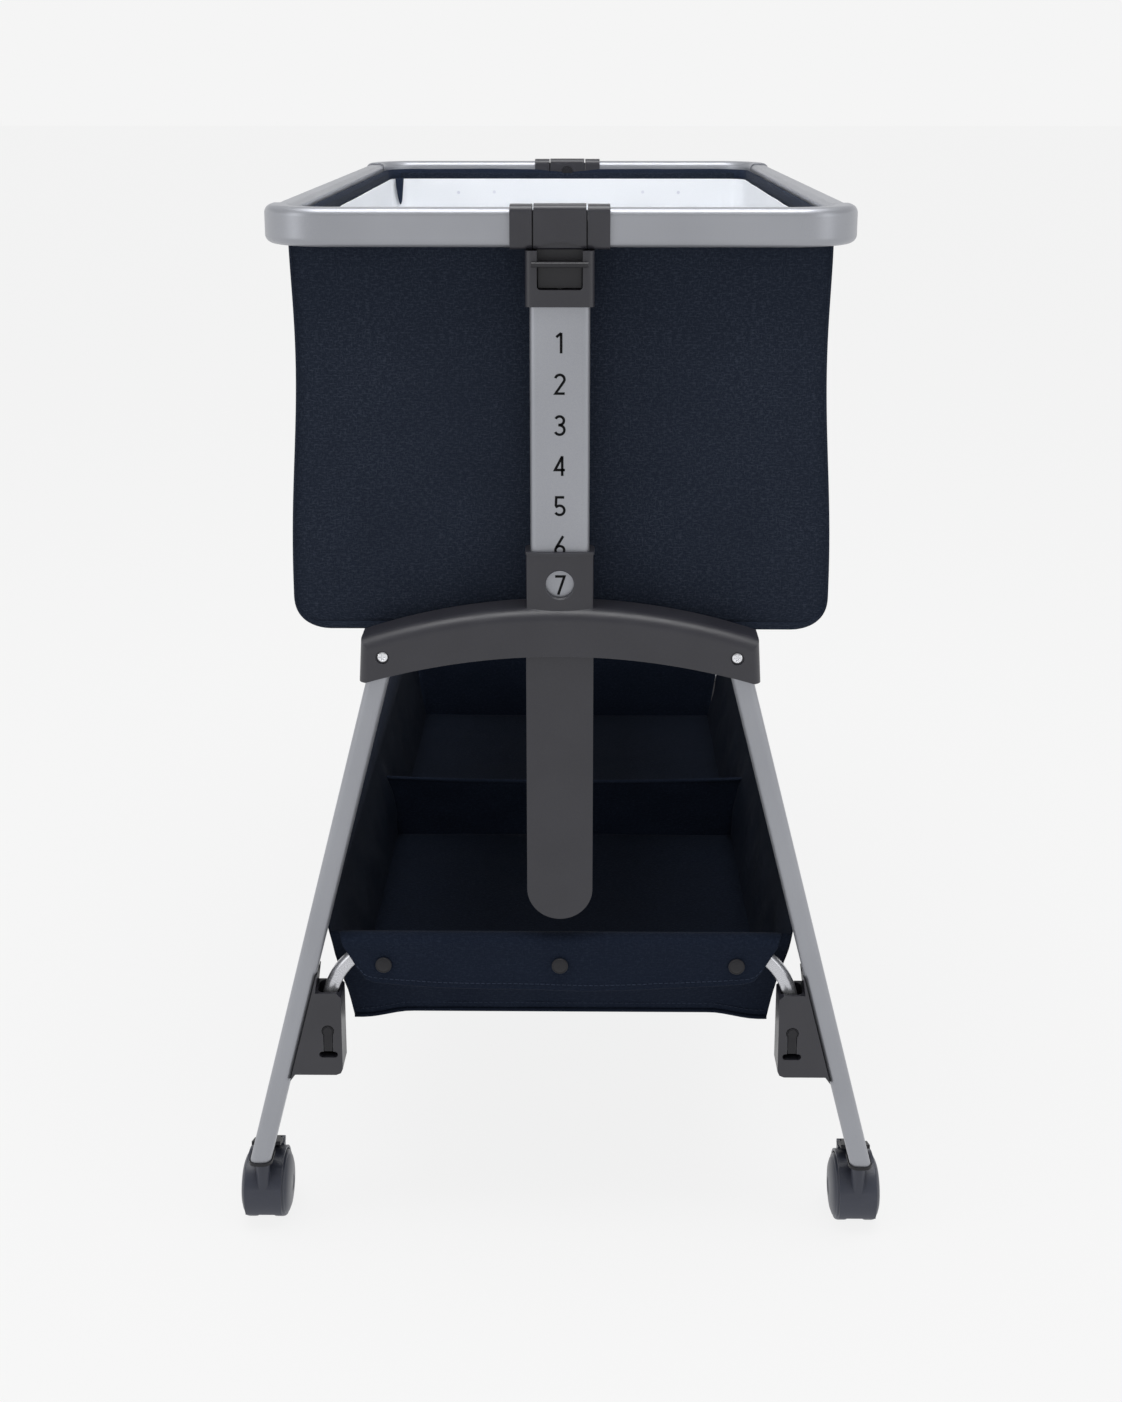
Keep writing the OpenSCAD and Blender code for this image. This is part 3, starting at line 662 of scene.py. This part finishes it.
def quilted_pad(name, low, high, radius, material, pitch=0.058, wide=89, long=157):
    """A closed pad, crowned and quilted in diamonds on top, with a side that pulls in at its seam."""
    half_x, half_y = high.x + 0.0015, high.y - 0.001
    top, bottom = high.z, low.z
    points, faces, index = [], [], {}
    for i in range(long):
        for j in range(wide):
            x = half_x * (-1 + 2 * j / (wide - 1))
            y = half_y * (-1 + 2 * i / (long - 1))
            edge = min(half_x - abs(x), half_y - abs(y))
            x, y = to_round_corner(x, y, half_x, half_y, radius)
            a, b = (x + y) / pitch, (x - y) / pitch
            seam = min(abs(a - round(a)), abs(b - round(b))) * pitch
            puff = 1 - math.exp(-((seam / QUILT_WIDTH) ** 2))
            fall = ease(edge / 0.03)
            z = top - PAD_CROWN * (1 - fall) - QUILT_DEPTH * (1 - puff) * fall
            z += 0.0006 * wave((x, y, 0), 0.03, 5.0)
            index[i, j] = len(points)
            points.append(Vector((x, y, z)))
    for i in range(long - 1):
        for j in range(wide - 1):
            faces.append((index[i, j], index[i, j + 1], index[i + 1, j + 1], index[i + 1, j]))
    border = [index[0, j] for j in range(wide)] + [index[i, wide - 1] for i in range(1, long)]
    border += [index[long - 1, j] for j in range(wide - 2, -1, -1)]
    border += [index[i, 0] for i in range(long - 2, 0, -1)]
    previous = border
    for share, out in PAD_SIDE:
        row = []
        for source in border:
            p = points[source]
            n = Vector((p.x / half_x, p.y / half_y, 0)).normalized()
            z = (top - PAD_CROWN) - (top - PAD_CROWN - bottom) * share
            row.append(len(points))
            points.append(Vector((p.x + n.x * out, p.y + n.y * out, z)))
        for k in range(len(border)):
            m = (k + 1) % len(border)
            faces.append((previous[m], previous[k], row[k], row[m]))
        previous = row
    faces.append(tuple(previous))
    uvs = [(p.x, p.y + (top - p.z)) for p in points]
    return new_piece(name, points, [f[::-1] if len(f) > 4 else f for f in faces], material, uvs)


pad = quilted_pad("mattress_pad", mattress_low, mattress_high, 0.024, quilt)
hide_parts("mattress")
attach(pad, "crib")

# ---------------------------------------------------------------- basket

tube_x = (side_tube_low.x + side_tube_high.x) / 2
tube_z = (side_tube_low.z + side_tube_high.z) / 2
wrap_r = (side_tube_high.z - side_tube_low.z) / 2 + 0.0012
cross_y = -(cross_low.y + cross_high.y) / 2
cross_r = (cross_high.y - cross_low.y) / 2
cross_z = cross_high.z - cross_r
floor_x = 0.191
floor_y = 0.396
floor_z = basket_low.z + 0.0068
CANVAS = 0.0016
SNAP_X = 0.158
SNAP_RADIUS = 0.0073


def canvas(piece, thickness=CANVAS, offset=0.0):
    thicken(piece, thickness, offset)
    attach(piece, "stand")
    return piece


rows = []
for i in range(81):
    y = floor_y * (-1 + 2 * i / 80)
    row = []
    for j in range(41):
        x = floor_x * (-1 + 2 * j / 40)
        inner = math.sin(math.pi * j / 40) * math.sin(math.pi * i / 80)
        sag = -0.006 * abs(math.sin(math.pi * i / 40)) * math.sin(math.pi * j / 40)
        crumple = 0.0022 * wave((x, y, 0), 0.085, 11.0) + 0.0009 * wave((x, y, 0), 0.03, 12.0)
        row.append(Vector((x, y, floor_z + (sag + crumple) * inner**0.3)))
    rows.append(row)
floor_sheet = canvas(grid("basket_floor", rows, basket_navy))

for side in SIDES:
    rows = []
    profile = [(floor_x, floor_z)]
    for k in range(1, 13):
        t = k / 12
        x, z = floor_x + (tube_x - wrap_r - floor_x) * t, floor_z + (tube_z - 0.001 - floor_z) * t
        profile.append((x, z))
    for k in range(1, 10):
        a = math.pi - math.pi * k / 9
        profile.append((tube_x + wrap_r * math.cos(a), tube_z + wrap_r * math.sin(a)))
    for k in range(1, 5):
        profile.append((tube_x + wrap_r - 0.0006 * k, tube_z - 0.0042 * k))
    for k, (x, z) in enumerate(profile):
        row = []
        up = (z - floor_z) / (tube_z - floor_z)
        for i in range(97):
            t = i / 96
            y_half = floor_y + (0.412 - floor_y) * ease(up)
            y = y_half * (-1 + 2 * t)
            free = math.sin(math.pi * min(1.0, max(0.0, up))) if k < 13 else 0.12
            fold = 0.0035 * wave((0, y, z), 0.055, 14.0 + side)
            fold += 0.0015 * wave((0, y, z), 0.02, 15.0 + side)
            gather = 0.006 * math.exp(-((y / 0.02) ** 2)) * free
            row.append(Vector((side * (x - fold * free - gather), y, z)))
        rows.append(row)
    wall = canvas(grid("basket_side_" + SIDES[side], rows, basket_navy, flip=side < 0))

for face in ENDS:
    end_name = ENDS[face]
    rows = []
    for k in range(15):
        t = k / 14
        y = floor_y + (cross_y - cross_r - 0.002 - floor_y) * t**1.2
        z = floor_z + (cross_z + cross_r * 0.6 - floor_z) * t
        half = floor_x + 0.0175 * t
        row = []
        for j in range(49):
            u = -1 + 2 * j / 48
            free = math.sin(math.pi * t) ** 0.7
            fold = 0.0026 * wave((half * u, 0, z), 0.05, 17.0 + face)
            fold += 0.001 * wave((half * u, 0, z), 0.018, 18.0)
            droop = -0.0066 * ease((abs(u) - 0.72) / 0.24) * (1 - t) ** 2
            row.append(Vector((half * u, face * (y - fold * free), z + droop)))
        rows.append(row)
    wall = canvas(grid("basket_end_" + end_name, rows, basket_navy, flip=face > 0))
    hem = []
    for p in rows[0]:
        hem.append(Vector((p.x, p.y + face * 0.0012, p.z + 0.001)))
    hem_piece = tube("basket_hem_" + end_name, hem, 0.0021, basket_navy)
    hem_line = [Vector((p.x * 0.995, p.y + face * 0.0024, p.z + 0.0085)) for p in rows[0]]
    hem_stitch = stitches("basket_hem_stitch_" + end_name, hem_line, thread, (0, face, 0))
    for piece in (hem_piece, hem_stitch):
        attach(piece, "stand")
    # the flap folds over the cross tube: five rows round the tube, then twenty down its front
    side_drop = flap_high.z - flap_low.z - 0.008
    wrap = cross_r + 0.0016
    rows = []
    for k in range(26):
        row = []
        for j in range(61):
            u = -1 + 2 * j / 60
            if k < 5:
                t = k / 5
                a = math.pi * 0.92 - math.pi * 0.42 * t
                y = cross_y + wrap * math.cos(a)
                z = cross_z + wrap * math.sin(a)
                half = 0.168 + 0.03 * ease(t)
            else:
                t = (k - 5) / 20
                past = min(1.0, max(0.0, (abs(u) - 0.91) / 0.09))
                edge = 1 - 0.26 * (1 - math.sqrt(max(0.0, 1 - past**2)))
                drop = (side_drop + 0.008 * (1 - abs(u) ** 2)) * t * edge
                over = min(1.0, t * 4.2)
                a = math.pi / 2 - math.pi / 2 * over
                y = cross_y + wrap * math.cos(a) + 0.0012 * t
                z = cross_z + wrap * math.sin(a) - max(0.0, drop - cross_r) * (over >= 1.0)
                half = 0.198 - 0.018 * t
                belly = 0.002 * wave((half * u, 0, z), 0.07, 21.0) * ease(t * 2)
                y += belly + 0.0007 * wave((half * u, 0, z), 0.02, 22.0) * ease(t * 2)
            row.append(Vector((half * u, face * min(y, flap_high.y + 0.003), z)))
        rows.append(row)
    flap = canvas(grid("basket_flap_" + end_name, rows, basket_navy, flip=face > 0), 0.0015)
    flap_stitch_line = [p + Vector((0, face * 0.001, 0)) for p in rows[-3]]
    flap_stitch = stitches("basket_flap_stitch_" + end_name, flap_stitch_line, thread, (0, face, 0))
    border = [rows[k][0] for k in range(5, 26)] + rows[-1] + [rows[k][-1] for k in range(25, 4, -1)]
    flap_edge = tube(
        "basket_flap_edge_" + end_name, resample(border, 160), 0.0011, basket_navy, sides=6,
    )
    for piece in (flap_stitch, flap_edge):
        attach(piece, "stand")
    for x in (-SNAP_X, 0.0, SNAP_X):
        size = SNAP_RADIUS
        base = -snap_low.y - 0.0022
        profile = [
            (0, size), (0.0012, size), (0.0018, size * 0.93), (0.0014, size * 0.84),
            (0.0014, size * 0.78), (0.0021, size * 0.66), (0.0025, size * 0.4), (0.0026, 0.0002),
        ]
        where = "left" if x < 0 else "right" if x > 0 else "middle"
        centre = (x, face * base, (snap_low.z + snap_high.z) / 2)
        snap = lathe(f"snap_{end_name}_{where}", profile, centre, (0, face, 0), plastic_dark, 32)
        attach(snap, "stand")
        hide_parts("basket_snaps")
    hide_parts("basket_flaps")
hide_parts("basket")

divider_rows = []
low_half, high_half = floor_x - 0.001, divider_high.x + 0.0005
for k in range(17):
    t = k / 16
    half = low_half + (high_half - low_half) * t
    row = []
    for j in range(61):
        u = -1 + 2 * j / 60
        top = divider_high.z - 0.004 * (1 - u * u)
        z = floor_z + 0.001 + (top - floor_z - 0.001) * t
        lean = 0.008 * math.sin(math.pi * t) * (1 - u * u)
        fold = 0.004 * wave((half * u, 0, z), 0.06, 25.0) + 0.0012 * wave((half * u, 0, z), 0.02, 26.0)
        y = lean * 0.6 + fold * math.sin(math.pi * t) ** 0.6 * (1 - u**8)
        row.append(Vector((half * u, y, z)))
    divider_rows.append(row)
divider = canvas(grid("basket_divider_cloth", divider_rows, basket_navy))
top_binding = tube("basket_divider_binding", divider_rows[-1], 0.0021, binding)
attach(top_binding, "stand")
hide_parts("basket_divider")

# ---------------------------------------------------------------- numbers on the posts


def arc(x, z, radius, start, stop, steps=20):
    """Points of an arc in millimetres, from one angle in degrees to another."""
    angles = [math.radians(start + (stop - start) * k / steps) for k in range(steps + 1)]
    return [(x + radius * math.cos(a), z + radius * math.sin(a)) for a in angles]


# the centre lines of a plain condensed numeral's strokes, in millimetres from its middle
STROKES = {
    1: [[(-2.9, 4.9), (1.1, 8.2)], [(1.1, 8.5), (1.1, -8.5)]],
    2: [arc(0, 4.3, 3.8, 165, -35) + [(-3.6, -7.6), (4.1, -7.6)]],
    3: [arc(-0.2, 4.1, 3.6, 155, -90) + arc(-0.2, -3.8, 4.0, 90, -155)],
    4: [[(2.0, 8.2), (-4.0, -3.4), (4.3, -3.4)], [(2.0, 8.5), (2.0, -8.5)]],
    5: [[(3.7, 7.6), (-3.0, 7.6), (-3.3, 0.6)] + arc(-0.2, -3.6, 4.0, 128, -150)],
    6: [[(2.8, 8.5), (-3.1, -1.6)], arc(0, -3.9, 3.7, 0, 360, 40)],
    7: [[(-4.0, 7.6), (3.9, 7.6), (-1.4, -8.5)]],
}
STROKE_HALF = 1.1
INK_DEPTH = 0.1


def stroke_faces(path, points, faces):
    """Adds a flat raised ribbon along a path, mitred at its corners."""
    base = len(points)
    path = [Vector(p) for p in path]
    for i, p in enumerate(path):
        before = (p - path[i - 1]).normalized() if i > 0 else (path[1] - p).normalized()
        after = (path[i + 1] - p).normalized() if i < len(path) - 1 else before
        middle = (before + after).normalized()
        across = Vector((-middle.y, middle.x)) * STROKE_HALF / max(0.5, middle.dot(after))
        for q in (p + across, p - across):
            points += [(q.x, 0.0, q.y), (q.x, -INK_DEPTH, q.y)]
    for i in range(len(path) - 1):
        a, b = base + 4 * i, base + 4 * (i + 1)
        faces += [
            (a + 1, a + 3, b + 3, b + 1), (a, a + 1, b + 1, b), (a + 3, a + 2, b + 2, b + 3),
        ]
    for a, turn in ((base, 1), (base + 4 * (len(path) - 1), -1)):
        faces.append((a, a + 2, a + 3, a + 1)[::turn])


DIGIT_TOP_Z = 0.8355
DIGIT_PITCH = 0.0345
for face in ENDS:
    points, faces = [], []
    for number in STROKES:
        first = len(points)
        for path in STROKES[number]:
            stroke_faces(path, points, faces)
        middle_z = DIGIT_TOP_Z - DIGIT_PITCH * (number - 1)
        for k in range(first, len(points)):
            x, y, z = (value / 1000 for value in points[k])
            points[k] = (-face * x, face * (-post_low.y + 0.00002 - y), middle_z + z)
    scale_marks = new_piece("height_numbers_" + ENDS[face], points, faces, ink, smooth=False)
    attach(scale_marks, "crib")

# ---------------------------------------------------------------- bolts and wheels


def bolt_head(name, centre, face, radius=0.0052):
    """A domed screw head with a cross recess."""
    rings, segments = 14, 64
    points, faces = [], []
    rise = 0.0026
    for i in range(rings + 1):
        r = radius * i / rings
        for k in range(segments):
            a = 2 * math.pi * k / segments
            x, z = r * math.cos(a), r * math.sin(a)
            dome = rise * math.sqrt(max(0.0, 1 - (r / radius) ** 2)) ** 0.8
            narrow = min(abs(x), abs(z))
            cut = (1 - ease((narrow - 0.0005) / 0.0004)) * (1 - ease((r - 0.0026) / 0.0006))
            y = face * (dome - 0.0016 * cut)
            points.append(Vector((centre[0] + x, centre[1] + y, centre[2] + z)))
    for i in range(rings):
        for k in range(segments):
            m = (k + 1) % segments
            quad = (i * segments + k, i * segments + m, (i + 1) * segments + m, (i + 1) * segments + k)
            faces.append(quad if face > 0 else quad[::-1])
    return new_piece(name, points, faces, chrome)


# one wheel from its inner face to its outer: distance along the axle, share of the tread's radius
WHEEL_PROFILE = (
    (0.0, 0.86), (0.0006, 0.95), (0.0022, 0.992), (0.004, 1.0), (0.0095, 1.0), (0.0115, 0.985),
    (0.0126, 0.955), (0.0128, 0.935), (0.0124, 0.92), (0.0129, 0.905), (0.0142, 0.85),
    (0.0156, 0.72), (0.0166, 0.5), (0.017, 0.3), (0.0169, 0.26), (0.0165, 0.24),
)
WHEEL_WIDTH = 0.0173
AXLE_HOLE = 0.0032
bolt_x = bolt_high.x - 0.0048
bolt_z = (bolt_low.z + bolt_high.z) / 2
for face in ENDS:
    for side in SIDES:
        seat = face * (bolt_high.y - 0.0028)
        head = bolt_head(f"bolt_head_{ENDS[face]}_{SIDES[side]}", (side * bolt_x, seat, bolt_z), face)
        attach(head, "stand")
        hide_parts("arch_bolts")
        low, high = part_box(f"wheels_{ENDS[face]}_{SIDES[side]}")
        centre = (low + high) / 2
        radius = (high.z - low.z) / 2
        reach = (high.x - low.x) / 2
        inner = reach - WHEEL_WIDTH
        profile = [(inner, AXLE_HOLE)]
        profile += [(inner + out, radius * share) for out, share in WHEEL_PROFILE]
        profile.append((inner + 0.0167, 0.0002))
        halves = [
            lathe("wheel_half", profile, centre, (way, 0, 0), castor_plastic, 64)
            for way in (-1, 1)
        ]
        wheels = join(f"wheel_set_{ENDS[face]}_{SIDES[side]}", halves)
        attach(wheels, f"wheelset_{ENDS[face]}_{SIDES[side]}")
        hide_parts(f"wheels_{ENDS[face]}_{SIDES[side]}")

# ---------------------------------------------------------------- stage, camera and lights

PAPER = srgb(245, 245, 245)
FLOOR_REACH = 40.0
floor_mesh = bpy.data.meshes.new("studio_floor")
corners = [(-FLOOR_REACH, -FLOOR_REACH, 0), (FLOOR_REACH, -FLOOR_REACH, 0),
           (FLOOR_REACH, FLOOR_REACH, 0), (-FLOOR_REACH, FLOOR_REACH, 0)]
floor_mesh.from_pydata(corners, [], [(0, 1, 2, 3)])
floor = bpy.data.objects.new("studio_floor", floor_mesh)
scene.collection.objects.link(floor)
paper = Look("paper")
paper.set(Base_Color=srgb(72, 72, 72), Roughness=1.0, Emission_Color=PAPER, Emission_Strength=0.935)
paper.put(paper.shader.inputs["Specular IOR Level"], 0.0)
floor_mesh.materials.append(paper.material)

world = bpy.data.worlds.new("studio")
scene.world = world
world.use_nodes = True
background = world.node_tree.nodes["Background"]
# white round the horizon, dimmer above it, and brightest overhead, like a studio with a top light
SKY = ((0.0, 0.913), (0.16, 0.913), (0.34, 0.34), (0.7, 0.34), (0.92, 1.0), (1.0, 1.0))
direction = world.node_tree.nodes.new("ShaderNodeTexCoord").outputs["Generated"]
split = world.node_tree.nodes.new("ShaderNodeSeparateXYZ")
ramp = world.node_tree.nodes.new("ShaderNodeValToRGB")
while len(ramp.color_ramp.elements) < len(SKY):
    ramp.color_ramp.elements.new(0.5)
for stop, (height, level) in zip(ramp.color_ramp.elements, SKY):
    stop.position = height
    stop.color = (level, level, level, 1.0)
world.node_tree.links.new(direction, split.inputs[0])
world.node_tree.links.new(split.outputs["Z"], ramp.inputs[0])
world.node_tree.links.new(ramp.outputs[0], background.inputs["Color"])
background.inputs["Strength"].default_value = 1.0


def soft_light(name, place, target, size, power):
    data = bpy.data.lights.new(name, "AREA")
    data.shape = "RECTANGLE"
    data.size, data.size_y = size
    data.energy = power
    lamp = bpy.data.objects.new(name, data)
    lamp.location = place
    lamp.rotation_euler = (Vector(target) - Vector(place)).to_track_quat("-Z", "Y").to_euler()
    scene.collection.objects.link(lamp)


MIDDLE = (0, 0, 0.55)
soft_light("key_top", (0, -0.5, 3.0), MIDDLE, (2.4, 1.4), 58)
soft_light("key_left", (-2.6, -1.6, 1.6), MIDDLE, (1.0, 2.0), 14)
soft_light("key_right", (2.6, -1.6, 1.6), MIDDLE, (1.0, 2.0), 10)

camera_data = bpy.data.cameras.new("camera")
camera_data.sensor_width = 36.0
camera_data.lens = 46.09
camera_data.shift_y = -0.1365
camera = bpy.data.objects.new("camera", camera_data)
camera.location = (0.01655, -1.90804, 1.0472)
camera.rotation_euler = (math.radians(90 - 13.5), 0, math.radians(0.607))
scene.collection.objects.link(camera)
scene.camera = camera
scene.view_settings.view_transform = "Standard"
